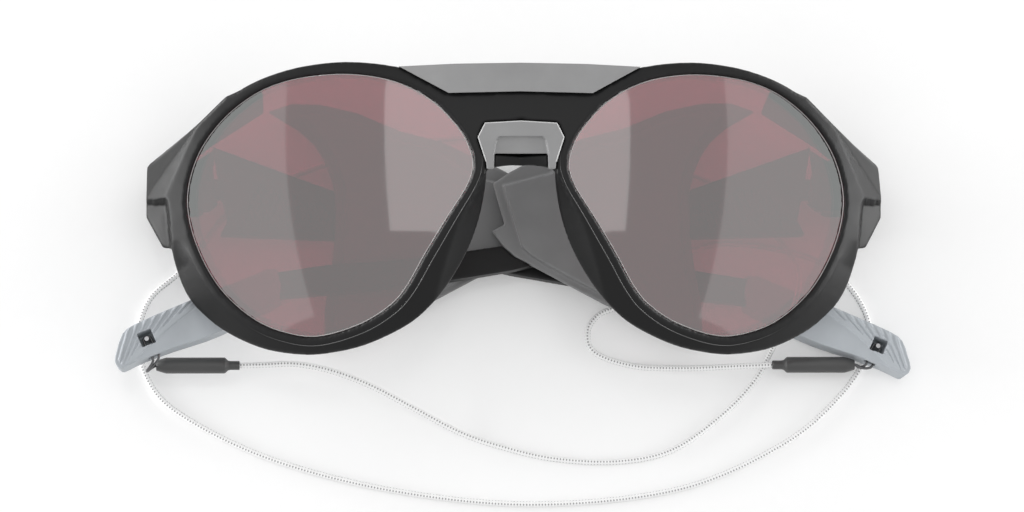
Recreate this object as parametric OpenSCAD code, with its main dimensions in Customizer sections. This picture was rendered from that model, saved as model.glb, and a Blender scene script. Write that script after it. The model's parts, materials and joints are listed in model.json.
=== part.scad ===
// Round-lens mountain sunglasses, folded, lying on their folded temples.
// X runs across the face, Y points to the brow, Z points up, away from the face.
// The origin is on the surface below the middle of the folded frame.

/* [Front] */
// Radius of the front's outer surface, a ball
front_r = 120; // [110:1:140]
// Depth of the rim from its front to its back
rim_depth = 3.8; // [3.4:0.1:4.6]
// Height of the top of the front above the surface it lies on
front_z = 41.6; // [41.4:0.1:44]
// Tilt of the front against the hinge axis, in degrees
front_tilt = 12; // [9:0.5:13]
// How far the lens face sits below the rim's face
lens_sink = 0.9; // [0.6:0.1:1.2]
// Thickness of a lens
lens_t = 1.6; // [1.2:0.1:2]
// How far a lens reaches into its groove
groove = 0.9; // [0.5:0.1:1.1]

/* [Brow and nose] */
// How far the brow cover stands proud of the front
brow_proud = 1.2; // [0.6:0.1:1.8]
// Length of the brow cover's hood over the top of the bridge
brow_hood = 6.5; // [5:0.5:8]
// How far the bridge insert is sunk into the front
insert_depth = 2.2; // [1.6:0.1:2.6]
// Thickness of the nose pads
pad_t = 1.3; // [0.9:0.1:1.8]

/* [Hinges] */
// Distance from the middle to each hinge pin
hinge_x = 64.5; // [63.5:0.25:65]
// Height of the hinge pins above the surface
hinge_z = 6.95; // [6.9:0.05:7.3]
// Radius of the hinge knuckles
knuckle_r = 2.2; // [1.9:0.1:2.3]
// Radius of the hinge pins
pin_r = 0.7; // [0.5:0.05:0.9]
// Radial gap of a pin in the stem's knuckle
pin_gap = 0.04; // [0.02:0.01:0.08]
// Gap between the knuckles along the pin
knuckle_gap = 0.15; // [0.1:0.05:0.3]

/* [Temples] */
// Thickness of a stem
stem_t = 2.6; // [2.3:0.1:2.8]
// Radius of a stem's bow, seen from above
bow_r = 640; // [600:10:700]
// Slope of the temple that folds last, in degrees
under_slope = 7.4; // [7.2:0.1:7.7]
// Slope of the temple that folds first, in degrees
over_slope = 4; // [3.7:0.1:4.1]
// Number of grooves across the thick end of a stem
groove_count = 13; // [0:1:14]
// Distance from one groove to the next
groove_pitch = 1.65; // [1.4:0.05:1.8]
// Thickness of a side shield at its edge
shield_t = 1.2; // [0.9:0.1:1.3]
// How far the middle of a side shield is raised
shield_rise = 1; // [0.5:0.1:1.1]

/* [Ear socks] */
// Thickness of an ear sock
sock_t = 4.4; // [3.9:0.1:4.5]
// Number of ribs fanned over a sock
rib_count = 11; // [8:1:12]
// How far a rib stands proud
rib_h = 0.25; // [0.15:0.05:0.35]
// Size of the square window near a sock's tip
window = 2.9; // [2.4:0.1:3.2]

/* [Leash] */
// Diameter of the leash cord
cord_d = 1.1; // [0.9:0.1:1.2]
// Diameter of a crimp barrel
barrel_d = 3.2; // [2.6:0.1:3.4]
// Length of a crimp barrel's body
barrel_l = 12.2; // [10:0.2:14]
// Thickness of the wire loop that ties a barrel to a sock
wire_d = 0.5; // [0.4:0.05:0.6]

/* [Hidden] */
$fn = 64;

front_y = -1;
slack = 0.1;
seam = 0.05;
deep = 60;
brow_sunk = 1.15;
lip_w = 0.5;
lip_depth = 0.4;
hinge_low = 4.9;
hinge_high = 15.3;
stem_low = 8.1;
stem_high = 12.1;
screw_r = 0.7;
screw_l = 2.1;
screw_head = 0.6;
pocket_floor = 0.6;
bar_r = 0.45;
tunnel_w = 2.4;
neck_l = 2.8;
cone_l = 1.6;
wire_hold = 0.8;
black = "#262626";
grey = "#8a8b8d";
pale = "#b9bec3";
steel = "#77787a";

// Points a smooth closed curve through p, with n steps from one point to the next.
function bend(a, b, c, d, t) = 0.5 * ((2 * b) + (c - a) * t
    + (2 * a - 5 * b + 4 * c - d) * t * t + (3 * b - a - 3 * c + d) * t * t * t);
function ring(p, n) = [for (i = [0 : len(p) - 1], k = [0 : n - 1])
    bend(p[(i + len(p) - 1) % len(p)], p[i], p[(i + 1) % len(p)], p[(i + 2) % len(p)], k / n)];
function open_curve(p, n) = concat([for (i = [0 : len(p) - 2], k = [0 : n - 1])
    bend(p[max(i - 1, 0)], p[i], p[i + 1], p[min(i + 2, len(p) - 1)], k / n)], [p[len(p) - 1]]);

// Outlines of the right half of the front, seen square on.
lens_pts = [[39.2, 25.7], [46.1, 24.5], [52.2, 21.9], [58.1, 17.2], [62.7, 10.9], [65, 3.6],
    [64.7, -3], [62.2, -10.2], [58.1, -16.7], [52.2, -21.9], [46.1, -24.6], [39.2, -25.4],
    [31, -22.9], [25.2, -19.2], [22, -15.4], [18.6, -9.3], [14.2, -2], [10.6, 3.7],
    [9.3, 7.6], [9.9, 11.2], [12.1, 15.3], [17.3, 20.7], [24.2, 24.3], [32, 25.8]];
rim_pts = [[40.2, 27.8], [47.4, 26.2], [53.6, 23.6], [59, 19.7], [63.5, 14.4], [66.7, 8],
    [68.5, 0.4], [68.4, -7.6], [65.4, -16.7], [60.6, -22.1], [55.4, -25.5], [49.4, -27.9],
    [42.6, -28.9], [37.4, -28.6], [31.1, -27.2], [25.4, -24.8], [20.6, -21.9], [16.4, -17.8],
    [12.6, -12.6], [9.2, -5.9], [7.2, 1.8], [6.8, 9], [9, 15.5], [14, 22], [22, 26.6], [31.6, 28.2]];
cheek_x = hinge_x + 2.4;
wing_pts = [[48, 25.8], [cheek_x - 9.4, 21.7], [cheek_x - 4.1, 16.6], [cheek_x + 6.1, 8.9],
    [cheek_x + 6.5, 8.3], [cheek_x + 6.5, -1.7], [cheek_x + 3.1, -7.8], [66, -7.8]];
bridge_pts = [[-26, 27.3], [26, 27.3], [20, 20], [9, 7], [6.9, 3], [-6.9, 3], [-9, 7], [-20, 20]];
brow_top = 27.2;
brow_pts = [[-23.6, brow_top + seam], [-13, 27.7], [0, 27.9], [13, 27.7],
    [23.6, brow_top + seam], [14, 22], [0, 22.3], [-14, 22]];
insert_pts = [[-8.4, 13.4], [-7, 16.2], [0, 16.6], [7, 16.2], [8.4, 13.4], [6.8, 9], [6.7, 7.2],
    [5.3, 7.2], [5.2, 10.2], [-5.2, 10.2], [-5.3, 7.2], [-6.7, 7.2], [-6.8, 9]];
// The seat that the insert sits in, one clearance wider all round.
insert_seat_pts = [for (p = insert_pts) abs(p[0]) > 5.5 || p[1] > 12
    ? [p[0] + sign(p[0]) * slack, p[1] + (p[1] > 13.4 ? slack : p[1] < 8 ? -slack : 0)]
    : [p[0] - sign(p[0]) * slack, p[1] - slack]];
pad_pts = [[8.2, -0.6], [9.6, -4.6], [11.4, -8.6], [13.8, -12.8], [16.8, -16.6], [20.4, -19.8]];

// Side views of a temple: the first value runs from the hinge pin towards the tip.
stem_pts = [[4, 18.8], [28.9, 10.1], [40, 6.6], [52, 2.4], [64, -1], [84, -4.2], [101, -5.7],
    [112, -7.6], [120, -11.6], [131, -17.2], [131, -19.2], [122, -17.6], [112, -12.9],
    [101, -11.6], [84, -9.8], [64.5, -6.4], [48, -2.4], [34, 0.2], [5.6, 0.7], [7.1, 3.7]];
shield_pts = [[68.4, 11.4], [65.3, 13.6], [62.3, 15.3], [50.2, 20.9], [41.9, 23], [33.2, 26.6],
    [25.7, 28.2], [20, 28.2], [15.2, 26.4], [21.4, 22.7], [24.3, 20.1], [26.4, 17], [27.8, 13.6],
    [28.7, 10], [28.7, 0.7], [27.8, -7], [26.6, -14], [26.6, -20.4], [28.6, -21.6], [34, -19.3],
    [42.2, -15.3], [46.7, -13.1], [56.9, -7.5], [61.6, -5], [64.1, -3.7], [66.4, -1.6],
    [68.6, 1.6], [66.1, 3]];
raised_pts = [[66.2, 10.9], [56.8, 13.4], [49, 18.6], [40.6, 21], [32.4, 24.6], [25.4, 26.2],
    [21.6, 25.6], [25.8, 21], [28.4, 17], [29.8, 13.4], [30.6, 10], [30.6, 0.7], [29.8, -7],
    [28.6, -14], [28.8, -19.2], [33.4, -17.2], [41.4, -13.3], [48.3, -10.6], [57.7, -5.5],
    [61.2, -3.2], [62.7, -1.8]];
sock_pts = [[111.5, -7], [116, -8.4], [121.5, -10.8], [127, -13.2], [132.5, -15.7],
    [139.2, -19], [141.5, -20.9], [142.5, -24], [143, -26.6], [142, -27.9], [140.8, -27.6],
    [137.8, -26], [132, -23.6], [125.5, -21.3], [120, -18.7], [115.5, -16], [111, -13.5]];
screw_at = [[38, 3.4], [55, -1.2]];
window_at = [136.9, -21.7];
window_turn = -24;
left_knee = [-73, -27.4, 9.8];
right_knee = [69.9, -25.8, 3.6];

// Route of the leash, from the left barrel to the right one, on the surface but for its ends.
lift = cord_d / 2 + seam;
left_neck = [-54.9, -25.9, 7.2];
right_neck = [52.1, -25.2, 3.5];
route = [left_neck, [-50, -25.9, 7.8], [-44, -25.8, 8.2], [-37, -27, 7.6], [-29, -29.7, 5.8],
    [-20, -34, 3.2], [-11, -38.4, 1], [-3, -41.2, lift], [8, -43.8, lift], [21, -44.4, lift],
    [32, -42, lift], [42, -35, lift], [48.4, -28.4, lift], [51.4, -23.4, 1.5],
    [53.8, -18.6, 5.6], [56.4, -13.6, 6.4], [57.6, -9, 6.2], [57.4, -4.4, 3.2], [54.8, 0.4, 0.9],
    [50, 6, lift], [40, 13.5, lift], [21, 20, lift], [0, 22.5, lift], [-18, 21.6, lift],
    [-40, 16, lift], [-56, 7.8, lift], [-63, -0.6, lift], [-67.4, -5.8, lift],
    [-73, -11, lift], [-75.2, -18, lift], [-73.6, -27, lift], [-67, -34.5, lift],
    [-49, -43.6, lift], [-24, -50.2, lift], [4, -53, lift], [33, -50, lift], [54, -41, lift],
    [66, -31, lift], [71.6, -22, lift], [71.4, -13.6, lift], [64.5, -4.6, lift], [54, -0.8, lift],
    [43, 0.4, lift], [36.6, -1.4, 2.3], [32.6, -4, 3.75], [28.6, -8, 3.85], [24.6, -11, 3.5],
    [20.8, -13, 1.8], [17.4, -14.4, lift], [15.2, -17.6, lift], [16.4, -22, lift],
    [24, -24.8, lift], [34, -25.4, 0.9], [44, -25.3, 2.3], right_neck];

module ball(r) { translate([0, 0, -front_r]) rotate([90, 0, 0]) sphere(r = r, $fn = 128); }

// Places what was drawn square on to the front where the front lies.
module on_front() { translate([0, front_y, front_z]) rotate([front_tilt, 0, 0]) children(); }

// A slice of the front's curved wall, from depth a to depth b below its face.
module curved(a, b) {
    intersection() {
        difference() {
            ball(front_r - a);
            ball(front_r - b);
        }
        translate([0, 0, -deep]) linear_extrude(deep + 6) children();
    }
}

module both_sides() {
    children();
    mirror([1, 0, 0]) children();
}

module lens_outline(grow = 0) {
    centre = [37.3, 0];
    far = 28;
    polygon([for (p = ring(lens_pts, 4)) centre + (p - centre) * (1 + grow / far)]);
}

module front_outline() {
    both_sides() {
        polygon(ring(rim_pts, 4));
        polygon(wing_pts);
    }
    difference() {
        polygon(bridge_pts);
        translate([0, -9.2]) circle(r = 17.6);
    }
}

module front_frame() {
    c = cheek_x;
    cheek_pts = [[c, 14.6], [c + 3.1, 14.6], [c + 6.4, 12.6], [c + 6.3, 5.4], [c + 4, 0.8],
        [c, 0.8]];
    wall_pts = [[c - 16.9, 25.2], [c - 6.3, 18.2], [c, 13.2], [c + 1.7, 14.6], [c - 4.3, 18.7],
        [c - 9.4, 22.9], [c - 16.1, 26.3]];
    color(black) difference() {
        union() {
            on_front() curved(0, rim_depth) front_outline();
            intersection() {
                both_sides() {
                    linear_extrude(front_z) polygon(cheek_pts);
                    translate([0, 0, 10]) linear_extrude(front_z) polygon(wall_pts);
                }
                on_front() ball(front_r - 0.6);
            }
        }
        on_front() {
            both_sides() {
                curved(-3, rim_depth + 3) lens_outline();
                curved(-3, lip_depth) lens_outline(lip_w);
                curved(lens_sink - slack, lens_sink + lens_t + slack) lens_outline(groove + slack);
                nose_slope();
            }
            curved(-3, insert_depth + slack) polygon(insert_seat_pts);
            curved(-3, brow_sunk + slack) polygon([for (p = brow_pts)
                [p[0] * 1.016, p[1] + (p[1] < 25 ? -slack : slack)]]);
            brow_clear();
        }
    }
}

// The slanted flank of the rim beside the nose.
module nose_slope() {
    translate([13.9, -6.9, -0.7]) rotate([0, 0, -63.5]) rotate([38, 0, 0])
        translate([-14.6, -14, 0]) cube([27.2, 14, 12]);
}

// Room for the brow cover's hood above the bridge.
module brow_clear() { translate([-24, brow_top - seam, -12]) cube([48, 6, 20]); }

// The cover's face has three parts: a middle one and two that fall away to the ends.
module brow_cover() {
    facet_shift = [8, 0, 1.1];
    color(grey) on_front() {
        intersection() {
            curved(-brow_proud, brow_sunk) polygon(brow_pts);
            translate(facet_shift) ball(front_r + brow_proud);
            mirror([1, 0, 0]) translate(facet_shift) ball(front_r + brow_proud);
        }
        curved(brow_sunk - seam, brow_hood) polygon(concat([for (p = brow_pts) if (p[1] > 25) p],
            [[22, brow_top], [-22, brow_top]]));
    }
}

module bridge_insert() {
    recess_pts = [[-4.8, 13], [-4.2, 13.5], [4.2, 13.5], [4.8, 13], [5.4, 10], [-5.4, 10]];
    color(grey) on_front() difference() {
        curved(-0.25, insert_depth) polygon(insert_pts);
        curved(-3, 0.5) polygon(recess_pts);
    }
}

module nose_pad() {
    color("#3a3b3d") on_front() curved(rim_depth + 0.02, rim_depth + 0.02 + pad_t)
        polygon(concat(open_curve(pad_pts, 3),
            [for (i = [len(pad_pts) - 1 : -1 : 0]) pad_pts[i] + [3.4, 1.8]]));
}

module lens() {
    color("#8b7f82", 0.6) on_front() curved(lens_sink, lens_sink + lens_t) lens_outline(groove);
}

module rod(r, y0, y1) { translate([0, y1, 0]) rotate([90, 0, 0]) cylinder(r = r, h = y1 - y0); }

// The hinge: two fixed knuckles hold one knuckle of the stem between them.
module hinge_block() {
    arm_x = cheek_x - hinge_x;
    cap_h = 3;
    cap_pts = [[-4.2, 13.2], [-4.6, 17.4], [arm_x - slack, 12.9], [arm_x - slack, hinge_low],
        [-3.6, hinge_low], [-5.2, 6.4]];
    fixed_low = [hinge_low, stem_low - knuckle_gap];
    fixed_high = [stem_high + knuckle_gap, hinge_high];
    color(black) translate([hinge_x, 0, hinge_z]) difference() {
        union() {
            for (y = [fixed_low, fixed_high]) {
                rod(knuckle_r, y[0], y[1]);
                translate([0, y[0], -knuckle_r]) cube([arm_x, y[1] - y[0], cap_h + knuckle_r]);
            }
            translate([0, 0, cap_h - 0.6]) linear_extrude(2) polygon(cap_pts);
        }
        rod(pin_r, hinge_low - 1, hinge_high + 1);
        rod(knuckle_r + 2 * slack, fixed_low[1], fixed_high[0]);
    }
}

module hinge_pin() {
    head = 0.6;
    color(steel) translate([hinge_x, 0, hinge_z]) {
        rod(pin_r, hinge_low + 0.3, hinge_high);
        rod(pin_r * 2, hinge_high, hinge_high + head);
    }
}

// A temple is drawn from its hinge pin outwards, then turned into its folded place.
module temple(slope) { translate([-hinge_x, 0, hinge_z]) rotate([0, slope, 0]) children(); }
module under() { temple(under_slope) children(); }
module over() { mirror([1, 0, 0]) temple(over_slope) children(); }

// A slice of the bowed temple, from height a to height b above its middle surface.
module bowed(a, b) {
    intersection() {
        translate([0, 0, bow_r]) difference() {
            rotate([90, 0, 0]) cylinder(r = bow_r - a, h = 2 * deep, center = true, $fn = 720);
            rotate([90, 0, 0]) cylinder(r = bow_r - b, h = 2 * deep + 2, center = true, $fn = 720);
        }
        translate([0, 0, -8]) linear_extrude(40) children();
    }
}

module stem() {
    half = stem_t / 2;
    color(black) difference() {
        union() {
            bowed(-half, half) polygon(stem_pts);
            rod(knuckle_r, stem_low, stem_high);
            translate([0, stem_low, -half]) cube([9, stem_high - stem_low, stem_t]);
        }
        rod(pin_r + pin_gap, stem_low - 1, stem_high + 1);
        bowed(half - shield_t - slack, half + 3) shield_outline(slack);
        for (p = screw_at) translate([p[0], p[1], bow_at(p[0]) - half]) {
            cylinder(r = screw_r + slack, h = 2 * stem_t);
            translate([0, 0, -1]) cylinder(r = 1.6 * screw_r + slack, h = 1 + slack + screw_head);
        }
        for (i = [0 : groove_count - 1]) groove_cut(i * groove_pitch);
    }
}

// A slanted groove in the face of the stem that looks at the front, at a distance from the first.
module groove_cut(away) {
    first = [9.6, 2.2];
    groove_size = [0.45, 9.8 - away * 0.3, 2];
    groove_cut_depth = 0.35;
    translate([first[0] + away, first[1], stem_t / 2 - groove_cut_depth]) rotate([0, 0, -21])
        cube(groove_size);
}

module shield_outline(grow = 0) {
    centre = [46, 2];
    polygon([for (p = shield_pts) centre + (p - centre) * (1 + grow / 20)]);
}

module side_shield() {
    half = stem_t / 2;
    color(grey) difference() {
        union() {
            bowed(half - shield_t, half) shield_outline();
            bowed(half - 0.1, half + shield_rise) polygon(raised_pts);
        }
        for (p = screw_at) translate([p[0], p[1], bow_at(p[0]) - half])
            cylinder(r = screw_r, h = slack + screw_l);
    }
}

// Height of the bowed middle surface of a temple at a distance s from its pin.
function bow_at(s) = bow_r - sqrt(bow_r * bow_r - s * s);

module shield_screws() {
    color(steel) for (p = screw_at) translate([p[0], p[1], bow_at(p[0]) - stem_t / 2 + slack]) {
        cylinder(r = screw_r, h = screw_l);
        cylinder(r = 1.6 * screw_r, h = screw_head);
    }
}

module sock_outline() { polygon(ring(sock_pts, 2)); }

module ear_sock() {
    half = stem_t / 2;
    color(pale) difference() {
        union() {
            bowed(-sock_t / 2, sock_t / 2) sock_outline();
            bowed(sock_t / 2 - 0.1, sock_t / 2 + rib_h) intersection() {
                translate([0.35, 0]) sock_inner();
                union() for (i = [0 : rib_count - 1]) rib(i);
            }
        }
        bowed(-half - slack, half + slack) polygon([for (p = stem_pts) if (p[0] > 100) p
            + [slack, p[1] > -12 - (p[0] - 112) * 0.32 ? slack : -slack]]);
        at_window() {
            translate([-window / 2, -window / 2, pocket_floor - sock_t / 2]) cube([window, window, 9]);
            translate([-tunnel_w / 2, -9, -0.7]) cube([tunnel_w, 9, 1.4]);
        }
    }
}

module sock_inner() { translate([128, -18.4]) scale(0.93) translate([-128, 18.4]) sock_outline(); }

// One rib of the fan, seen from the side of the temple. The first is at the tip.
module rib(i) {
    first = [140, -19.5];
    rib_w = 0.4;
    top_slope = 0.47;
    away = 1.55 * i + 0.06 * i * i;
    translate(first + away * [-1, top_slope]) rotate([0, 0, 4.2 * i - 75]) translate([-2, 0])
        square([18, rib_w]);
}

module at_window() {
    translate([window_at[0], window_at[1], bow_at(window_at[0])]) rotate([0, 0, window_turn])
        children();
}

// The bar stands on the floor of the window, and the wire goes round it.
module loop_bar() {
    color("#c9ccd0") at_window() translate([0, 0, pocket_floor - sock_t / 2])
        cylinder(r = bar_r, h = sock_t - 2 * pocket_floor);
}

// Sweeps a round section with the given number of sides along points.
function unit(v) = v / norm(v);
function tangent(p, i) = unit(p[min(i + 1, len(p) - 1)] - p[max(i - 1, 0)]);
function side_of(t) = unit(cross(t, abs(t[2]) > 0.9 ? [0, 1, 0] : [0, 0, 1]));
module tube(p, r, sides) {
    pts = [for (i = [0 : len(p) - 1]) let (t = tangent(p, i), a = side_of(t), b = cross(a, t))
        for (k = [0 : sides - 1]) p[i] + r * (cos(k * 360 / sides) * a + sin(k * 360 / sides) * b)];
    n = sides;
    walls = [for (i = [0 : len(p) - 2], k = [0 : n - 1]) let (a = i * n + k, b = i * n + (k + 1) % n)
        each [[a, b, a + n], [b, b + n, a + n]]];
    ends = [for (k = [1 : n - 2]) each [[0, k + 1, k], [(len(p) - 1) * n, (len(p) - 1) * n + k,
        (len(p) - 1) * n + k + 1]]];
    polyhedron(points = pts, faces = concat(walls, ends));
}

// A barrel lies along X, with the cord in its neck and the wires in its cone.
module crimp_barrel(neck, way) {
    neck_r = 0.9;
    r = barrel_d / 2;
    cord_hold = 2;
    color("#4a4c4f") translate(neck) rotate([0, way * 90, 0]) difference() {
        union() {
            cylinder(r = neck_r, h = neck_l);
            translate([0, 0, neck_l - 2 * wire_d]) cylinder(r1 = neck_r, r2 = r, h = 2 * wire_d);
            translate([0, 0, neck_l]) cylinder(r = r, h = barrel_l);
            translate([0, 0, neck_l + barrel_l]) cylinder(r1 = r, r2 = 2 * wire_d, h = cone_l);
        }
        translate([0, 0, neck_l + barrel_l - wire_hold]) cylinder(r = wire_d + slack * 2, h = 9);
        translate([0, 0, -1]) cylinder(r = cord_d / 2 + seam, h = 1 + cord_hold);
    }
}

module leash_cord() {
    color("#e6e6e6") tube(open_curve(route, 2), cord_d / 2, 8);
}

// Where the middle of a window lies in the folded sunglasses; side is 1 for the right end.
function bar_place(side, slope) = let (s = window_at[0], up = bow_at(s))
    [side * (s * cos(slope) + up * sin(slope) - hinge_x), window_at[1],
    hinge_z - s * sin(slope) + up * cos(slope)];

// A wire loop goes from a barrel's cone, past a knee, through the slot, round the bar and back.
module wire_loop(bar, neck, way, knee) {
    half_gap = wire_d / 2 + seam;
    turn = bar_r + half_gap;
    up = [0, 0, 1];
    down = [-way * sin(-window_turn), -cos(window_turn), 0];
    across = [-down[1], down[0], 0];
    root = neck + [way * (neck_l + barrel_l - wire_hold + slack), 0, 0];
    mouth = neck + [way * (neck_l + barrel_l + cone_l + slack), 0, 0];
    half = [[root, up * half_gap], [mouth, up * half_gap],
        [knee, (up + across) * half_gap], [bar + down * 4.2, across * turn * 0.8],
        [bar + down * 2, across * turn], [bar, across * turn],
        [bar - down * turn * 0.8, across * turn * 0.6]];
    path = concat([for (p = half) p[0] - p[1]], [for (i = [6 : -1 : 0]) half[i][0] + half[i][1]]);
    color("#9a9da0") tube(open_curve(path, 2), wire_d / 2, 6);
}

module mirrored() { mirror([1, 0, 0]) children(); }

front_frame();
lens();  // lens_right
mirrored() lens();  // lens_left
brow_cover();
bridge_insert();
nose_pad();  // nose_pad_right
mirrored() nose_pad();  // nose_pad_left
hinge_block();  // hinge_block_right
mirrored() hinge_block();  // hinge_block_left
hinge_pin();  // hinge_pin_right
mirrored() hinge_pin();  // hinge_pin_left
over() stem();  // stem_right
under() stem();  // stem_left
over() side_shield();  // side_shield_right
under() side_shield();  // side_shield_left
over() shield_screws();  // shield_screws_right
under() shield_screws();  // shield_screws_left
over() ear_sock();  // ear_sock_right
under() ear_sock();  // ear_sock_left
over() loop_bar();  // loop_bar_right
under() loop_bar();  // loop_bar_left
wire_loop(bar_place(-1, over_slope), left_neck, -1, left_knee);  // wire_loop_right
wire_loop(bar_place(1, under_slope), right_neck, 1, right_knee);  // wire_loop_left
crimp_barrel(left_neck, -1);  // crimp_barrel_right
crimp_barrel(right_neck, 1);  // crimp_barrel_left
leash_cord();
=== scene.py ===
"""Folded round-lens mountain sunglasses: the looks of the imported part, laid out as an add-on."""

import json
import math

import bmesh
import bpy
from bpy.props import FloatProperty, FloatVectorProperty, PointerProperty
from mathutils import Matrix, Vector


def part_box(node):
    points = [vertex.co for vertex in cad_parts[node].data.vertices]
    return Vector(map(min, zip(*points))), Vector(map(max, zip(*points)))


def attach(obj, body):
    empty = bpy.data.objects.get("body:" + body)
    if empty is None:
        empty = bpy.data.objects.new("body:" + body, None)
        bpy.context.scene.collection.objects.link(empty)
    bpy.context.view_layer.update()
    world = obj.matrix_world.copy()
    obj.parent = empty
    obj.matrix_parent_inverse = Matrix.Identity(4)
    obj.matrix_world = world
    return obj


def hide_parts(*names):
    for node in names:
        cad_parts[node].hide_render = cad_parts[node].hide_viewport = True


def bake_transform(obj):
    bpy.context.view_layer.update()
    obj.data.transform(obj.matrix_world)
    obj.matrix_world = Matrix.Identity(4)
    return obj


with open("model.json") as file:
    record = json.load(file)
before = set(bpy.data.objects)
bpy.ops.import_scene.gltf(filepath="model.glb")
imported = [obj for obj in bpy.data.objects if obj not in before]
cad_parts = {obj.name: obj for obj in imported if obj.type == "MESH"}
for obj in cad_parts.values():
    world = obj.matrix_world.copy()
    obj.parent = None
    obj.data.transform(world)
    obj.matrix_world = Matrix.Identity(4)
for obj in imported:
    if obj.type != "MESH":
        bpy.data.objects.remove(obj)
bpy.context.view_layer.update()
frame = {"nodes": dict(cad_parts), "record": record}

bl_info = {
    "name": "Folded sunglasses",
    "version": (1, 0, 0),
    "blender": (4, 5, 0),
    "location": "View3D > Sidebar > Sunglasses",
    "description": "Builds the looks of folded round-lens sunglasses with a leash",
    "category": "Add Mesh",
}

MM = 0.001

# A CAD node's loose triangles are joined where their corners lie this close, in millimetres.
JOIN_WITHIN = 0.002
# On a piece with facets, edges sharper than the first angle are broken, and faces that meet at
# less than the second look like one.
SHARP_FROM = math.radians(35)
FACET_FROM = math.radians(8)

# The front's wall is a slice of a ball, tilted and lifted as in the part's source, in millimetres.
FRONT_R = 120
FRONT_Y = -1
FRONT_Z = 41.6
FRONT_TILT = math.radians(12)
LENS_SINK = 0.9
LENS_T = 1.6
# The lens's radius, about, and how far its edge reaches into the groove of the front.
LENS_R = 28
LENS_HOLD = 0.86
LENS_MIDDLE = (37.3, 0)
LENS_POINTS = [
    (39.2, 25.7), (46.1, 24.5), (52.2, 21.9), (58.1, 17.2), (62.7, 10.9), (65, 3.6), (64.7, -3),
    (62.2, -10.2), (58.1, -16.7), (52.2, -21.9), (46.1, -24.6), (39.2, -25.4), (31, -22.9),
    (25.2, -19.2), (22, -15.4), (18.6, -9.3), (14.2, -2), (10.6, 3.7), (9.3, 7.6),
    (9.9, 11.2), (12.1, 15.3), (17.3, 20.7), (24.2, 24.3), (32, 25.8),
]

# The leash runs from the left barrel to the right one, in millimetres, as in the part's source.
CORD_D = 1.1
LIFT = CORD_D / 2 + 0.05
LEASH = [
    (-54.9, -25.9, 7.2), (-50, -25.9, 7.8), (-44, -25.8, 8.2), (-37, -27, 7.6),
    (-29, -29.7, 5.8), (-20, -34, 3.2), (-11, -38.4, 1), (-3, -41.2, LIFT), (8, -43.8, LIFT),
    (21, -44.4, LIFT), (32, -42, LIFT), (42, -35, LIFT), (48.4, -28.4, LIFT),
    (51.4, -23.4, 1.5), (53.8, -18.6, 5.6), (56.4, -13.6, 6.4), (57.6, -9, 6.2),
    (57.4, -4.4, 3.2), (54.8, 0.4, 0.9), (50, 6, LIFT), (40, 13.5, LIFT), (21, 20, LIFT),
    (0, 22.5, LIFT), (-18, 21.6, LIFT), (-40, 16, LIFT), (-56, 7.8, LIFT), (-63, -0.6, LIFT),
    (-67.4, -5.8, LIFT), (-73, -11, LIFT), (-75.2, -18, LIFT), (-73.6, -27, LIFT),
    (-67, -34.5, LIFT), (-49, -43.6, LIFT), (-24, -50.2, LIFT), (4, -53, LIFT),
    (33, -50, LIFT), (54, -41, LIFT), (66, -31, LIFT), (71.6, -22, LIFT), (71.4, -13.6, LIFT),
    (64.5, -4.6, LIFT), (54, -0.8, LIFT), (43, 0.4, LIFT), (36.6, -1.4, 2.3),
    (32.6, -4, 3.75), (28.6, -8, 3.85), (24.6, -11, 3.5), (20.8, -13, 1.8), (17.4, -14.4, LIFT),
    (15.2, -17.6, LIFT), (16.4, -22, LIFT), (24, -24.8, LIFT), (34, -25.4, 0.9),
    (44, -25.3, 2.3), (52.1, -25.2, 3.5),
]
# Route points at which the leash is divided into three lengths.
LEASH_CUTS = (0, 12, 40, len(LEASH) - 1)
# Rings of the leash's skin from each route point to the next.
LEASH_STEPS = 16
# The length of one stitch of the braid in millimetres, and the strands of one way round it.
BRAID_PITCH = 1.25
BRAID_STRANDS = 2

# The camera stands where the photograph was taken from.
CAMERA_AT = (-0.0424, -0.1963, 0.9139)
CAMERA_TILT = math.radians(12)
CAMERA_TURN = math.radians(-2.6)
CAMERA_LENS = 162.3

# Soft boxes: name, place in metres, turn in degrees, sides in metres, and brightness.
LAMPS = (
    ("overhead", (0, 0.035, 1.25), (0, 0, 0), (1.15, 0.8), 0.52),
    ("left_side", (-1.3, 0.0, 0.6), (0, -58, 0), (1.0, 1.6), 0.25),
    ("right_side", (1.3, 0.0, 0.6), (0, 58, 0), (1.0, 1.6), 0.25),
    ("left_strip", (-1.0, 0.25, 0.18), (0, -80, 0), (0.2, 1.0), 14),
    ("right_strip", (1.0, 0.25, 0.18), (0, 80, 0), (0.2, 1.0), 10),
)
WORLD_LIGHT = 0.72
# The floor's side, and how far it lies below the part, in metres.
FLOOR_SIZE = 6
FLOOR_GAP = 0.0001

# Creases of a wing beside its lens, seen square on: the edge of the rim and the one beyond it.
WING_INNER = ((62.9, 16.5), (70.1, 1.2))
WING_OUTER = ((62.9, 16.5), (73.2, 2.4))
# How steeply the wing falls away beyond each crease.
WING_INNER_SLOPE = 0.3
WING_OUTER_SLOPE = 0.9
# The wing's inner and lower ends, and the height over which its facets fade out at the lower one.
WING_FROM_X = 60
WING_FROM_Y = -2
WING_FADE = 1.5
# The inner upper corner of the step at the wing's lower end, the slant of its inner side, its
# lower end, and how deep it is.
STEP_AT = (69.2, 1.3)
STEP_SLANT = 0.09
STEP_END_Y = -9
STEP_DEPTH = 1.8
# The rim's bevel below a lens: how far from the lens it starts, and how steep it is.
BEVEL_FROM = 1.8
BEVEL_SLOPE = 0.42
# Its two ends, in degrees round the lens, and the degrees over which it fades out at each.
BEVEL_INNER_END = -205
BEVEL_INNER_FADE = 15
BEVEL_OUTER_END = -12
BEVEL_OUTER_FADE = 10
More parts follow.
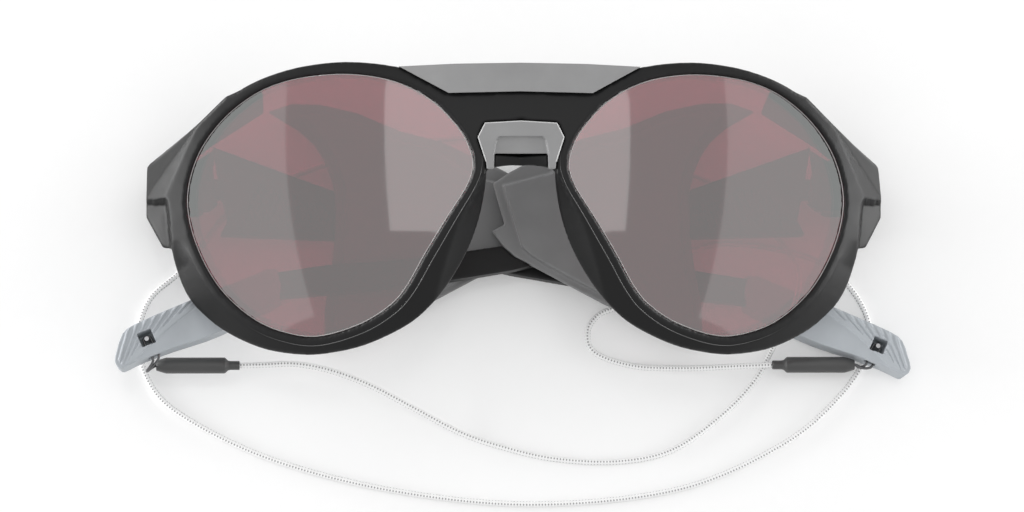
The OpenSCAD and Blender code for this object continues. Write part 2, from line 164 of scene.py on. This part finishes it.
# What is pressed into the front fades out with depth, and ends this far below its face.
PRESS_DEPTH = 6
# Rings of a bead from each point of its line to the next.
BEAD_STEPS = 8
# The bead along the lens's edge, lighter as a painted highlight: how far inside it, and its radius.
EDGE_BEAD_IN = 0.06
EDGE_BEAD_R = 0.11
# The bead on the crease between rim and bevel, lighter as a painted highlight: its radius, the
# steps round the lens from and to which it runs, and the steps over which it thins out at each end.
CREASE_R = 0.09
CREASE_PART = (72, 150)
CREASE_FADE = 18
# The brow cover's edges are broken by this much.
BROW_EDGE = 0.14
# The upper edge of the bridge insert, seen square on, and the bead on it, a painted highlight.
INSERT_EDGE = ((-6.75, 8.6), (-8.3, 13.4), (-6.95, 16.1), (0, 16.5), (6.95, 16.1), (8.3, 13.4),
               (6.75, 8.6))
INSERT_BEAD_LIFT = 0.16
INSERT_BEAD_R = 0.13

# Colours of the small pieces, which the panel doesn't list.
PAD_COLOUR = (0.03, 0.03, 0.031)
# A painted highlight: the insert's edge bead is coloured lighter than the trim.
INSERT_HIGHLIGHT_COLOUR = (0.62, 0.62, 0.62)
# A painted highlight: the lens's edge bead is coloured lighter than the frame.
LENS_EDGE_HIGHLIGHT_COLOUR = (0.4, 0.38, 0.38)
# A painted highlight: the crease bead is coloured lighter than the frame.
CREASE_HIGHLIGHT_COLOUR = (0.1, 0.1, 0.1)
PIN_COLOUR = (0.5, 0.5, 0.51)
WIRE_COLOUR = (0.16, 0.16, 0.165)


def deselect():
    """Leaves nothing selected, so that the next operator acts on its own object only."""
    bpy.ops.object.select_all(action="DESELECT")


def pick(piece):
    """Makes one object the selected and active one."""
    deselect()
    piece.select_set(True)
    bpy.context.view_layer.objects.active = piece


def modify(piece, kind, **settings):
    """Adds a modifier and applies it."""
    pick(piece)
    modifier = piece.modifiers.new(kind.title(), kind)
    for key, value in settings.items():
        setattr(modifier, key, value)
    bpy.ops.object.modifier_apply(modifier=modifier.name)


def in_edit_mode(piece, *steps):
    """Runs mesh operators on the whole of a piece."""
    pick(piece)
    bpy.ops.object.mode_set(mode="EDIT")
    bpy.ops.mesh.select_all(action="SELECT")
    for step in steps:
        step()
    bpy.ops.object.mode_set(mode="OBJECT")


def body_and_slot(node):
    """The body that a CAD node rides on, and its material slot in the record."""
    record = frame["record"]
    body = next(b for b, nodes in record["behaviour"]["bodies"].items() if node in nodes)
    slot = next(p["material_slot"] for p in record["subparts"] if p["node"] == node)
    return body, slot


def stand_for(piece, node, material):
    """Lets a finished piece stand for a CAD node."""
    body, slot = body_and_slot(node)
    piece.name = node + "_shown"
    piece.data.materials.clear()
    piece.data.materials.append(material)
    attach(piece, body)
    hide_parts(node)
    return piece


def joined_copy(node):
    """A copy of a CAD node, its loose triangles joined to one skin."""
    piece = bpy.data.objects.new(node, frame["nodes"][node].data.copy())
    bpy.context.collection.objects.link(piece)
    in_edit_mode(piece, lambda: bpy.ops.mesh.remove_doubles(threshold=JOIN_WITHIN * MM))
    return piece


def refined(node, voxel, passes, material, shape=None):
    """A copy of a CAD node whose edges are rounded like a moulding's."""
    piece = joined_copy(node)
    modify(piece, "REMESH", mode="VOXEL", voxel_size=voxel * MM)
    if shape:
        shape(piece)
    modify(piece, "SMOOTH", factor=0.5, iterations=passes)
    bpy.ops.object.shade_smooth()
    return stand_for(piece, node, material)


def facetted(node, width, material):
    """A copy of a CAD node that keeps its facets, with its sharp edges broken."""
    piece = joined_copy(node)
    modify(piece, "BEVEL", width=width * MM, segments=2, angle_limit=SHARP_FROM)
    bpy.ops.object.shade_smooth_by_angle(angle=FACET_FROM)
    return stand_for(piece, node, material)


def share(value):
    """A value held between 0 and 1."""
    return min(1.0, max(0.0, value))


def beyond(line, x, y):
    """How far a point lies outside a crease, in millimetres."""
    (ax, ay), (bx, by) = line
    length = math.hypot(bx - ax, by - ay)
    return max(0.0, ((x - ax) * (ay - by) + (y - ay) * (bx - ax)) / length)


def lens_radii():
    """How far the lens's edge lies from its middle, for each degree round it."""
    places = [p - Vector(LENS_MIDDLE) for p in smooth_ring(LENS_POINTS, 24)]
    radii = {round(math.degrees(math.atan2(p[1], p[0]))): p.length for p in places}
    return [radii.get(a, radii.get(a + 1, radii.get(a - 1))) for a in range(-180, 181)]


def wing_drop(x, y):
    """How far a wing has fallen away at a point, in its two flat facets."""
    drop = WING_INNER_SLOPE * beyond(WING_INNER, x, y)
    drop += WING_OUTER_SLOPE * beyond(WING_OUTER, x, y)
    return drop * share((y - WING_FROM_Y) / WING_FADE)


def bevel_drop(x, y, radii):
    """How far the rim has fallen away at a point below a lens."""
    u, v = x - LENS_MIDDLE[0], y - LENS_MIDDLE[1]
    angle = math.degrees(math.atan2(v, u))
    out = math.hypot(u, v) - radii[round(angle) + 180] - BEVEL_FROM
    turned = angle if angle < 0 else angle - 360
    inner = share((turned - BEVEL_INNER_END) / BEVEL_INNER_FADE)
    outer = share((BEVEL_OUTER_END - turned) / BEVEL_OUTER_FADE)
    return BEVEL_SLOPE * max(0.0, out) * (inner * outer)


def crease_front(piece):
    """Presses the wings' facets and steps, and the bevels below the lenses, into the front."""
    turn = Matrix.Rotation(-FRONT_TILT, 3, "X")
    radii = lens_radii()
    for vertex in piece.data.vertices:
        x, y, z = turn @ (vertex.co / MM - Vector((0, FRONT_Y, FRONT_Z)))
        x = abs(x)
        depth = math.sqrt(FRONT_R ** 2 - x * x - y * y) - FRONT_R - z
        on_wing = x > WING_FROM_X and y > WING_FROM_Y
        drop = wing_drop(x, y) if on_wing else bevel_drop(x, y, radii)
        step_from = STEP_AT[0] - STEP_SLANT * (STEP_AT[1] - y)
        if x > step_from and STEP_END_Y < y < STEP_AT[1]:
            drop = max(drop, STEP_DEPTH)
        vertex.co.z -= drop * (1 - share(depth / PRESS_DEPTH)) * MM


def spline(a, b, c, d, t):
    """A point on the smooth curve from b to c."""
    return 0.5 * (2 * b + (c - a) * t + (2 * a - 5 * b + 4 * c - d) * t * t
                  + (3 * b - a - 3 * c + d) * t * t * t)


def smooth_line(points, steps):
    """A smooth open curve through points, with a number of steps from each to the next."""
    p = [Vector(q) for q in points]
    last = len(p) - 1
    line = [spline(p[max(i - 1, 0)], p[i], p[i + 1], p[min(i + 2, last)], k / steps)
            for i in range(last) for k in range(steps)]
    return line + [p[last]]


def smooth_ring(points, steps):
    """A smooth closed curve through points."""
    p = [Vector(q) for q in points]
    n = len(p)
    return [spline(p[i - 1], p[i], p[(i + 1) % n], p[(i + 2) % n], k / steps)
            for i in range(n) for k in range(steps)]


def on_front(x, y, depth=0):
    """The point of the front's face at x, y seen square on, and how deep below the face."""
    up = math.sqrt((FRONT_R - depth) ** 2 - x * x - y * y) - FRONT_R
    tilt = Matrix.Rotation(FRONT_TILT, 3, "X")
    return (tilt @ Vector((x, y, up)) + Vector((0, FRONT_Y, FRONT_Z))) * MM


def sections(line):
    """A centre and two cross directions for each point of a line, without twist."""
    made = []
    side = Vector((0, 0, 1)).cross(line[1] - line[0]).normalized()
    for i, point in enumerate(line):
        along = (line[min(i + 1, len(line) - 1)] - line[max(i - 1, 0)]).normalized()
        side = (side - along * side.dot(along)).normalized()
        made.append((point, side, along.cross(side)))
    return made


def sweep(name, places, radii, sides, start=0.0):
    """A closed round skin over sections, with the length along it in its UV map."""
    mesh = bpy.data.meshes.new(name)
    piece = bpy.data.objects.new(name, mesh)
    bpy.context.collection.objects.link(piece)
    bm = bmesh.new()
    uv = bm.loops.layers.uv.new("along")
    rings = []
    for (centre, a, b), r in zip(places, radii):
        turns = [2 * math.pi * k / sides for k in range(sides)]
        rings.append([bm.verts.new(centre + r * (math.cos(t) * a + math.sin(t) * b)) for t in turns])
    far = [start]
    for i in range(1, len(places)):
        far.append(far[-1] + (places[i][0] - places[i - 1][0]).length)
    for i in range(len(rings) - 1):
        for k in range(sides):
            m = (k + 1) % sides
            face = bm.faces.new((rings[i][k], rings[i][m], rings[i + 1][m], rings[i + 1][k]))
            face.smooth = True
            corners = ((k, i), (k + 1, i), (k + 1, i + 1), (k, i + 1))
            for loop, (u, v) in zip(face.loops, corners):
                loop[uv].uv = (u / sides, far[v])
    bm.faces.new(reversed(rings[0]))
    bm.faces.new(rings[-1])
    bmesh.ops.recalc_face_normals(bm, faces=bm.faces)
    bm.to_mesh(mesh)
    bm.free()
    return piece


class Value:
    """A node socket that takes part in sums, so that shader maths reads as an expression."""

    def __init__(self, shader, socket):
        self.shader = shader
        self.socket = socket

    def __add__(self, other):
        return self.shader.maths("ADD", self, other)

    def __sub__(self, other):
        return self.shader.maths("SUBTRACT", self, other)

    def __rsub__(self, other):
        return self.shader.maths("SUBTRACT", other, self)

    def __mul__(self, other):
        return self.shader.maths("MULTIPLY", self, other)

    __radd__ = __add__
    __rmul__ = __mul__


class Shader:
    """The node tree of one new material."""

    def __init__(self, name):
        self.material = bpy.data.materials.new(name)
        self.material.use_nodes = True
        self.tree = self.material.node_tree
        self.tree.nodes.clear()

    def node(self, kind, settings=(), inputs=(), output=0):
        """Adds a node, sets its settings and then its sockets, and gives one of its outputs."""
        made = self.tree.nodes.new(kind)
        for key, value in dict(settings).items():
            setattr(made, key, value)
        for key, value in inputs.items() if isinstance(inputs, dict) else enumerate(inputs):
            if isinstance(value, Value):
                self.tree.links.new(value.socket, made.inputs[key])
            else:
                made.inputs[key].default_value = value
        return Value(self, made.outputs[output]) if made.outputs else None

    def maths(self, operation, *values):
        """A Math node on values, or on values and numbers."""
        return self.node("ShaderNodeMath", {"operation": operation}, values)

    def noise(self, size, detail=2.0):
        """Even noise from 0 to 1 whose spots are about size millimetres wide."""
        place = self.node("ShaderNodeTexCoord", output="Object")
        settings = {"Vector": place, "Scale": 1 / (size * MM), "Detail": detail}
        return self.node("ShaderNodeTexNoise", {}, settings, "Fac")

    def between(self, first, second, amount):
        """A colour that goes from first to second."""
        inputs = {0: amount, 6: tone(first), 7: tone(second)}
        return self.node("ShaderNodeMix", {"data_type": "RGBA"}, inputs, 2)

    def finish(self, surface):
        """Joins a surface to the output, and gives the finished material."""
        self.node("ShaderNodeOutputMaterial", {}, {"Surface": surface})
        return self.material


def tone(colour, by=1.0):
    """An opaque colour, made lighter or darker."""
    return tuple(min(1.0, c * by) for c in tuple(colour)[:3]) + (1.0,)


def moulded(name, colour, rough, grain=0.12, depth=0.01, spread=0.12, coat=0.0, gloss=0.5):
    """Moulded plastic or rubber: a fine grain, faint mottling and uneven gloss."""
    shader = Shader(name)
    fine = shader.noise(grain)
    broad = shader.noise(6, 4.0)
    bump = shader.node("ShaderNodeBump", {}, {"Strength": 0.35, "Distance": depth * MM,
                                              "Height": fine})
    return shader.finish(shader.node("ShaderNodeBsdfPrincipled", {}, {
        "Base Color": shader.between(tone(colour, 1 - spread), tone(colour, 1 + spread), broad),
        "Roughness": (broad - 0.5) * 0.16 + (fine - 0.5) * 0.1 + rough,
        "Coat Weight": coat, "Coat Roughness": 0.3, "Specular IOR Level": gloss,
        "Normal": bump}))


def pale_floor(name):
    """A white floor that a view shows as white, and that keeps the shadows on it."""
    shader = Shader(name)
    paper = shader.node("ShaderNodeBsdfPrincipled", {}, {
        "Base Color": shader.between((0.91, 0.91, 0.91), (0.93, 0.93, 0.93), shader.noise(3)),
        "Roughness": 0.18, "Specular IOR Level": 0.5})
    seen = shader.node("ShaderNodeLightPath", output="Is Camera Ray")
    for ray in ("Is Glossy Ray", "Is Transmission Ray"):
        seen = shader.maths("MAXIMUM", seen, shader.node("ShaderNodeLightPath", output=ray))
    white = shader.node("ShaderNodeEmission", {}, {"Color": tone((1, 1, 1)), "Strength": 1.5})
    return shader.finish(shader.node("ShaderNodeMixShader", {}, {0: seen * 0.13, 1: paper,
                                                                 2: white}))


def brushed(name, colour, rough):
    """Drawn steel wire and pins, with fine scratches."""
    shader = Shader(name)
    scratches = shader.noise(0.08, 1.0)
    return shader.finish(shader.node("ShaderNodeBsdfPrincipled", {}, {
        "Base Color": shader.between(tone(colour, 0.8), tone(colour, 1.1), scratches),
        "Metallic": 1.0, "Roughness": (scratches - 0.5) * 0.2 + rough}))


def mirror_lens(name, look):
    """A mirror coating over a rose lens: part of the light is sent back, the rest is tinted."""
    shader = Shader(name)
    haze = shader.noise(9, 3.0)
    coat = shader.node("ShaderNodeBsdfPrincipled", {}, {
        "Base Color": tone(look.coating), "Metallic": 1.0,
        "Roughness": haze * 0.03 + 0.03})
    clear = shader.node("ShaderNodeBsdfTransparent", {}, {"Color": tone(look.lens_tint)})
    return shader.finish(shader.node("ShaderNodeMixShader", {}, {0: look.mirror, 1: clear, 2: coat}))


def braid(name, colour):
    """A round braid: two sets of strands cross, and dark flecks show between them."""
    shader = Shader(name)
    uv = shader.node("ShaderNodeUVMap", {"uv_map": "along"})
    turns = 2 * math.pi * BRAID_STRANDS
    around = shader.node("ShaderNodeSeparateXYZ", {}, [uv], "X") * turns
    stitches = 2 * math.pi / (BRAID_PITCH * MM)
    along = shader.node("ShaderNodeSeparateXYZ", {}, [uv], "Y") * stitches
    right = shader.maths("SINE", around + along)
    left = shader.maths("SINE", around - along)
    knot = right * left * 0.5 + 0.5
    fleck = shader.maths("MINIMUM", knot * 2.6, 1.0)
    bump = shader.node("ShaderNodeBump", {}, {"Strength": 0.5, "Distance": 0.1 * MM,
                                              "Height": knot})
    return shader.finish(shader.node("ShaderNodeBsdfPrincipled", {}, {
        "Base Color": shader.between(tone(colour, 0.16), tone(colour), fleck),
        "Roughness": 0.65 + knot * 0.1, "Normal": bump, "Sheen Weight": 0.2}))


class SunglassesColours(bpy.types.PropertyGroup):
    """The colours of the sunglasses."""

    frame: FloatVectorProperty(
        name="Frame", description="Colour of the front and the stems", subtype="COLOR",
        size=3, min=0, max=1, default=(0.007, 0.007, 0.0073))
    trim: FloatVectorProperty(
        name="Trim", description="Colour of the brow cover and bridge insert",
        subtype="COLOR", size=3, min=0, max=1, default=(0.27, 0.27, 0.272))
    shield: FloatVectorProperty(
        name="Side shields", description="Colour of the side shields",
        subtype="COLOR", size=3, min=0, max=1, default=(0.19, 0.19, 0.192))
    sock: FloatVectorProperty(
        name="Ear socks", description="Colour of the ribbed ear socks", subtype="COLOR",
        size=3, min=0, max=1, default=(0.44, 0.47, 0.5))
    barrel: FloatVectorProperty(
        name="Barrels", description="Colour of the crimp barrels", subtype="COLOR",
        size=3, min=0, max=1, default=(0.065, 0.065, 0.065))
    leash: FloatVectorProperty(
        name="Leash", description="Colour of the braided leash", subtype="COLOR",
        size=3, min=0, max=1, default=(0.97, 0.97, 0.97))
    coating: FloatVectorProperty(
        name="Lens coating", description="Colour of the lens's mirror coating",
        subtype="COLOR", size=3, min=0, max=1, default=(0.46, 0.48, 0.475))
    lens_tint: FloatVectorProperty(
        name="Lens tint", description="Colour of the light that one face of the lens lets through",
        subtype="COLOR", size=3, min=0, max=1, default=(0.7, 0.2, 0.28))
    mirror: FloatProperty(
        name="Mirror", description="Share of the light that the coating sends back",
        subtype="FACTOR", min=0, max=1, default=0.5)


class SunglassesSizes(bpy.types.PropertyGroup):
    """The finish sizes that a user would change."""

    edge: FloatProperty(
        name="Edge", description="Grid of the softened copies of the large mouldings, in mm",
        min=0.2, max=1, default=0.39)
    fine_edge: FloatProperty(
        name="Fine edge", description="Grid of the softened copies of the small mouldings, in mm",
        min=0.1, max=0.5, default=0.16)


class OBJECT_OT_sunglasses_stage(bpy.types.Operator):
    """Places the camera, the lights and the floor"""

    bl_idname = "object.sunglasses_stage"
    bl_label = "Stage"

    def execute(self, context):
        deselect()
        aim = Matrix.Rotation(CAMERA_TILT, 3, "X") @ Matrix.Rotation(CAMERA_TURN, 3, "Y")
        bpy.ops.object.camera_add(location=CAMERA_AT, rotation=aim.to_euler())
        camera = context.object
        camera.data.lens = CAMERA_LENS
        camera.data.clip_start = 0.05
        context.scene.camera = camera
        context.scene.view_settings.view_transform = "Standard"
        world = bpy.data.worlds.new("studio")
        world.use_nodes = True
        background = world.node_tree.nodes["Background"]
        background.inputs["Color"].default_value = (1, 1, 1, 1)
        background.inputs["Strength"].default_value = WORLD_LIGHT
        context.scene.world = world
        for values in LAMPS:
            self.lamp(*values)
        bpy.ops.mesh.primitive_plane_add(size=FLOOR_SIZE, location=(0, 0, -FLOOR_GAP))
        floor = context.object
        floor.name = "floor"
        floor.data.materials.append(pale_floor("floor_white"))
        return {"FINISHED"}

    def lamp(self, name, place, turn, size, radiance):
        """A soft box of a given size in metres, whose face has a given brightness."""
        bpy.ops.object.light_add(type="AREA", location=place,
                                 rotation=[math.radians(a) for a in turn])
        lamp = bpy.context.object
        lamp.name = name
        lamp.data.shape = "RECTANGLE"
        lamp.data.size, lamp.data.size_y = size
        lamp.data.energy = radiance * math.pi * size[0] * size[1]


class OBJECT_OT_sunglasses_leash(bpy.types.Operator):
    """Lays the braided leash in three lengths"""

    bl_idname = "object.sunglasses_leash"
    bl_label = "Leash"

    def execute(self, context):
        places = sections([p * MM for p in smooth_line(LEASH, LEASH_STEPS)])
        material = braid("leash_braid", context.scene.sunglasses_colours.leash)
        names = ("leash_left", "leash_middle", "leash_right")
        start = 0.0
        for name, a, b in zip(names, LEASH_CUTS, LEASH_CUTS[1:]):
            part = places[a * LEASH_STEPS:b * LEASH_STEPS + 1]
            path = [p[0] for p in part]
            length = sum((q - p).length for p, q in zip(path, path[1:]))
            piece = sweep(name, part, [CORD_D / 2 * MM] * len(part), sides=12, start=start)
            piece.data.materials.append(material)
            start += length
            self.join(piece, name)
            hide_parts("leash_cord")
        return {"FINISHED"}

    def join(self, piece, name):
        """Bakes an end of the leash in place, and ties the rest to the front."""
        if name == "leash_left":
            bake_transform(piece)
        elif name == "leash_right":
            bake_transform(piece)
        else:
            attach(piece, "front")


class OBJECT_OT_sunglasses_front(bpy.types.Operator):
    """Finishes the front with its brow cover, bridge insert and nose pads"""

    bl_idname = "object.sunglasses_front"
    bl_label = "Front"

    def execute(self, context):
        look = context.scene.sunglasses_colours
        sizes = context.scene.sunglasses_sizes
        black = moulded("frame_black", look.frame, 0.34, gloss=0.28)
        grey = moulded("trim_grey", look.trim, 0.38, coat=0.1)
        rubber = moulded("pad_rubber", PAD_COLOUR, 0.6, grain=0.2)
        # The insert's edge bead gets a light colour as a painted highlight.
        insert_painted_highlight = moulded("insert_highlight_bead", INSERT_HIGHLIGHT_COLOUR, 0.3, grain=0.3, depth=0.002)
        refined("front_frame", sizes.edge, 3, black, crease_front)
        facetted("brow_cover", BROW_EDGE, grey)
        refined("bridge_insert", sizes.fine_edge, 2, grey)
        for side in ("right", "left"):
            refined("nose_pad_" + side, sizes.fine_edge, 3, rubber)
        edge = self.insert_highlight_bead()
        edge.data.materials.append(insert_painted_highlight)
        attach(edge, "front")
        return {"FINISHED"}

    def insert_highlight_bead(self):
        """A fine bead over the corner of the bridge insert, coloured light as a painted highlight.
        """
        points = [Vector(p) for p in INSERT_EDGE]
        line = [a.lerp(b, k / BEAD_STEPS) for a, b in zip(points, points[1:])
                for k in range(BEAD_STEPS)]
        line = [on_front(p[0], p[1], -INSERT_BEAD_LIFT) for p in line + points[-1:]]
        return sweep("insert_highlight_bead", sections(line), [INSERT_BEAD_R * MM] * len(line), sides=6)


class OBJECT_OT_sunglasses_lenses(bpy.types.Operator):
    """Makes the two ball-shaped mirror lenses"""

    bl_idname = "object.sunglasses_lenses"
    bl_label = "Lenses"

    def execute(self, context):
        material = mirror_lens("lens_mirror", context.scene.sunglasses_colours)
        # The bead at each lens's edge gets a light colour as a painted highlight of the rim's lip.
        rim_highlight_paint = moulded("lens_edge_painted_highlight", LENS_EDGE_HIGHLIGHT_COLOUR, 0.3, grain=0.3, depth=0.002)
        # The bead on each rim's crease gets a colour lighter than the frame as a painted highlight.
        crease_painted_highlight = moulded("frame_crease_painted_highlight", CREASE_HIGHLIGHT_COLOUR, 0.2, grain=0.3, depth=0.002)
        for side, node in ((1, "lens_right"), (-1, "lens_left")):
            piece = self.shell(side)
            piece.visible_shadow = False
            piece.visible_diffuse = False
            stand_for(piece, node, material)
            depth = LENS_SINK - EDGE_BEAD_IN
            rim = self.ring(side, node + "_edge", -EDGE_BEAD_IN, depth, EDGE_BEAD_R)
            rim.data.materials.append(rim_highlight_paint)
            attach(rim, "front")
            crease = self.ring(side, node + "_crease", BEVEL_FROM, 0, CREASE_R, CREASE_PART)
            crease.data.materials.append(crease_painted_highlight)
            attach(crease, "front")
        return {"FINISHED"}

    def ring(self, side, name, out, depth, radius, part=(0, None)):
        """A fine bead at a distance from the lens's outline, or fading along a part of it."""
        middle = Vector(LENS_MIDDLE)
        line = smooth_ring(LENS_POINTS, BEAD_STEPS)
        line = (line + line[:1])[part[0]:part[1]]
        line = [p + (p - middle).normalized() * out for p in line]
        line = [on_front(side * p[0], p[1], depth) for p in line]
        fade = CREASE_FADE if part[1] else 1
        radii = [radius * MM * min(1.0, (i + 1) / fade, (len(line) - i) / fade)
                 for i in range(len(line))]
        return sweep(name, sections(line), radii, sides=6)

    def shell(self, side):
        """A lens: rings drawn inwards from its outline, laid on the ball, then thickened."""
        middle = Vector(LENS_MIDDLE)
        grow = 1 + LENS_HOLD / LENS_R
        outline = [middle + (p - middle) * grow for p in smooth_ring(LENS_POINTS, 4)]
        rings = 10
        deselect()
        bpy.ops.mesh.primitive_circle_add(vertices=len(outline), radius=1, fill_type="NOTHING")
        piece = bpy.context.object
        for vertex, p in zip(piece.data.vertices, outline):
            vertex.co = (p[0], p[1], 0)
        bpy.ops.object.mode_set(mode="EDIT")
        bpy.ops.mesh.select_all(action="SELECT")
        for k in range(rings - 1, 0, -1):
            bpy.ops.mesh.extrude_region_move()
            step = k / (k + 1)
            bpy.ops.transform.resize(value=(step, step, 1), center_override=(*LENS_MIDDLE, 0))
        bpy.ops.mesh.extrude_region_move()
        bpy.ops.mesh.merge(type="CENTER")
        bpy.ops.object.mode_set(mode="OBJECT")
        for vertex in piece.data.vertices:
            x, y = vertex.co[:2]
            vertex.co = on_front(side * x, y, LENS_SINK)
        in_edit_mode(piece, lambda: bpy.ops.mesh.normals_make_consistent(inside=False))
        if piece.data.polygons[len(outline)].normal.z < 0:
            in_edit_mode(piece, bpy.ops.mesh.flip_normals)
        modify(piece, "SOLIDIFY", thickness=LENS_T * MM, offset=-1)
        bpy.ops.object.shade_smooth_by_angle(angle=math.radians(40))
        return piece


class OBJECT_OT_sunglasses_temples(bpy.types.Operator):
    """Finishes the stems, side shields and ear socks, and the metal of the hinges"""

    bl_idname = "object.sunglasses_temples"
    bl_label = "Temples"

    def execute(self, context):
        look = context.scene.sunglasses_colours
        sizes = context.scene.sunglasses_sizes
        black = moulded("stem_black", look.frame, 0.42, gloss=0.3)
        grey = moulded("shield_grey", look.shield, 0.36, coat=0.1)
        pale = moulded("sock_rubber", look.sock, 0.5, grain=0.2, depth=0.006)
        steel = brushed("pin_steel", PIN_COLOUR, 0.35)
        plain = 1.4 * sizes.fine_edge
        ribbed = 0.8 * sizes.fine_edge
        for side in ("right", "left"):
            refined("stem_" + side, plain, 2, black)
            refined("side_shield_" + side, plain, 6, grey)
            refined("ear_sock_" + side, ribbed, 1, pale)
            refined("hinge_block_" + side, sizes.fine_edge, 2, black)
            for kept in ("hinge_pin_", "shield_screws_", "loop_bar_"):
                for slot in frame["nodes"][kept + side].material_slots:
                    slot.material = steel
        return {"FINISHED"}


class OBJECT_OT_sunglasses_ties(bpy.types.Operator):
    """Makes the crimp barrels and the wire loops that tie the leash to the ear socks"""

    bl_idname = "object.sunglasses_ties"
    bl_label = "Leash ties"

    # The barrel, from the neck that the leash enters to the hollow cone that the wire leaves.
    HOLE_R = 0.6
    NECK_R = 0.9
    BARREL_R = 1.6
    NECK_L = 2.8
    BARREL_L = 12.2
    CONE_L = 1.6
    CONE_R = 0.95
    BORE_R = 0.7
    BORE_L = 0.8
    # The wire: how far its ends reach into the cone, how long it runs straight before the bar
    # that it goes round, the bar, and how far the sock's window is turned.
    WIRE_IN = 0.7
    WIRE_STRAIGHT = 4.2
    WIRE_R = 0.25
    BAR_R = 0.45
    WINDOW_TURN = math.radians(24)
    # The place at which each wire bends towards its window.
    KNEES = {"right": (-73, -27.4, 9.8), "left": (69.9, -25.8, 3.6)}

    def execute(self, context):
        dark = moulded("barrel_dark", context.scene.sunglasses_colours.barrel, 0.4)
        wire = brushed("loop_wire", WIRE_COLOUR, 0.35)
        for side, neck, way in (("right", LEASH[0], -1), ("left", LEASH[-1], 1)):
            stand_for(self.barrel(Vector(neck), way), "crimp_barrel_" + side, dark)
            low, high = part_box("loop_bar_" + side)
            bar = (low + high) / 2 / MM
            piece = self.loop(bar, Vector(neck), way, Vector(self.KNEES[side]))
            stand_for(piece, "wire_loop_" + side, wire)
        return {"FINISHED"}

    def barrel(self, neck, way):
        """A lathe shape along X: neck, shoulder, body and hollow cone, with softened edges."""
        body = self.NECK_L + self.BARREL_L
        tip = body + self.CONE_L
        floor = body - self.BORE_L
        profile = [
            (0, self.HOLE_R), (0, self.NECK_R - 0.1), (0.1, self.NECK_R),
            (self.NECK_L - 1, self.NECK_R),
            (self.NECK_L - 0.5, self.NECK_R + 0.1), (self.NECK_L - 0.05, self.BARREL_R - 0.15),
            (self.NECK_L + 0.2, self.BARREL_R), (self.NECK_L + 1.2, self.BARREL_R),
            (body - 0.4, self.BARREL_R), (body, self.BARREL_R - 0.1),
            (tip - 0.1, self.CONE_R + 0.1), (tip, self.CONE_R), (tip, self.BORE_R),
            (floor, self.BORE_R), (floor, 0.1)]
        places = [(neck * MM + Vector((way * s * MM, 0, 0)), Vector((0, 1, 0)),
                   Vector((0, 0, way))) for s, _ in profile]
        piece = sweep("barrel", places, [r * MM for _, r in profile], sides=32)
        pick(piece)
        bpy.ops.object.shade_smooth_by_angle(angle=math.radians(35))
        return piece

    def loop(self, bar, neck, way, knee):
        """One wire: out of the cone, past the knee, round the bar and back."""
        gap = self.WIRE_R + 0.05
        turn = self.BAR_R + gap
        up = Vector((0, 0, 1))
        down = Vector((-way * math.sin(self.WINDOW_TURN), -math.cos(self.WINDOW_TURN), 0))
        across = Vector((-down[1], down[0], 0))
        body = self.NECK_L + self.BARREL_L
        along = Vector((way, 0, 0))
        half = [(neck + along * (body - self.WIRE_IN), up * gap),
                (neck + along * (body + self.CONE_L + 0.1), up * gap),
                (knee, (up + across) * gap),
                (bar + down * self.WIRE_STRAIGHT, across * turn * 0.8),
                (bar + down * 2, across * turn), (bar, across * turn),
                (bar - down * turn * 0.8, across * turn * 0.6)]
        line = smooth_line([p - q for p, q in half] + [p + q for p, q in reversed(half)], steps=6)
        places = sections([p * MM for p in line])
        return sweep("loop", places, [self.WIRE_R * MM] * len(line), sides=8)


class VIEW3D_PT_sunglasses(bpy.types.Panel):
    """Lists the parts of the sunglasses"""

    bl_label = "Sunglasses"
    bl_space_type = "VIEW_3D"
    bl_region_type = "UI"
    bl_category = "Sunglasses"

    def draw(self, context):
        for group in (context.scene.sunglasses_colours, context.scene.sunglasses_sizes):
            for name in group.__annotations__:
                self.layout.prop(group, name)
        for operator in OPERATORS:
            self.layout.operator(operator.bl_idname)


OPERATORS = (
    OBJECT_OT_sunglasses_stage,
    OBJECT_OT_sunglasses_leash,
    OBJECT_OT_sunglasses_front,
    OBJECT_OT_sunglasses_lenses,
    OBJECT_OT_sunglasses_temples,
    OBJECT_OT_sunglasses_ties,
)
CLASSES = (SunglassesColours, SunglassesSizes, *OPERATORS, VIEW3D_PT_sunglasses)


def register():
    for cls in CLASSES:
        bpy.utils.register_class(cls)
    bpy.types.Scene.sunglasses_colours = PointerProperty(type=SunglassesColours)
    bpy.types.Scene.sunglasses_sizes = PointerProperty(type=SunglassesSizes)


def unregister():
    del bpy.types.Scene.sunglasses_sizes
    del bpy.types.Scene.sunglasses_colours
    for cls in reversed(CLASSES):
        bpy.utils.unregister_class(cls)


def main():
    """Builds the whole scene."""
    register()
    bpy.ops.object.sunglasses_stage()
    bpy.ops.object.sunglasses_leash()
    bpy.ops.object.sunglasses_front()
    bpy.ops.object.sunglasses_lenses()
    bpy.ops.object.sunglasses_temples()
    bpy.ops.object.sunglasses_ties()


if __name__ == "__main__":
    main()
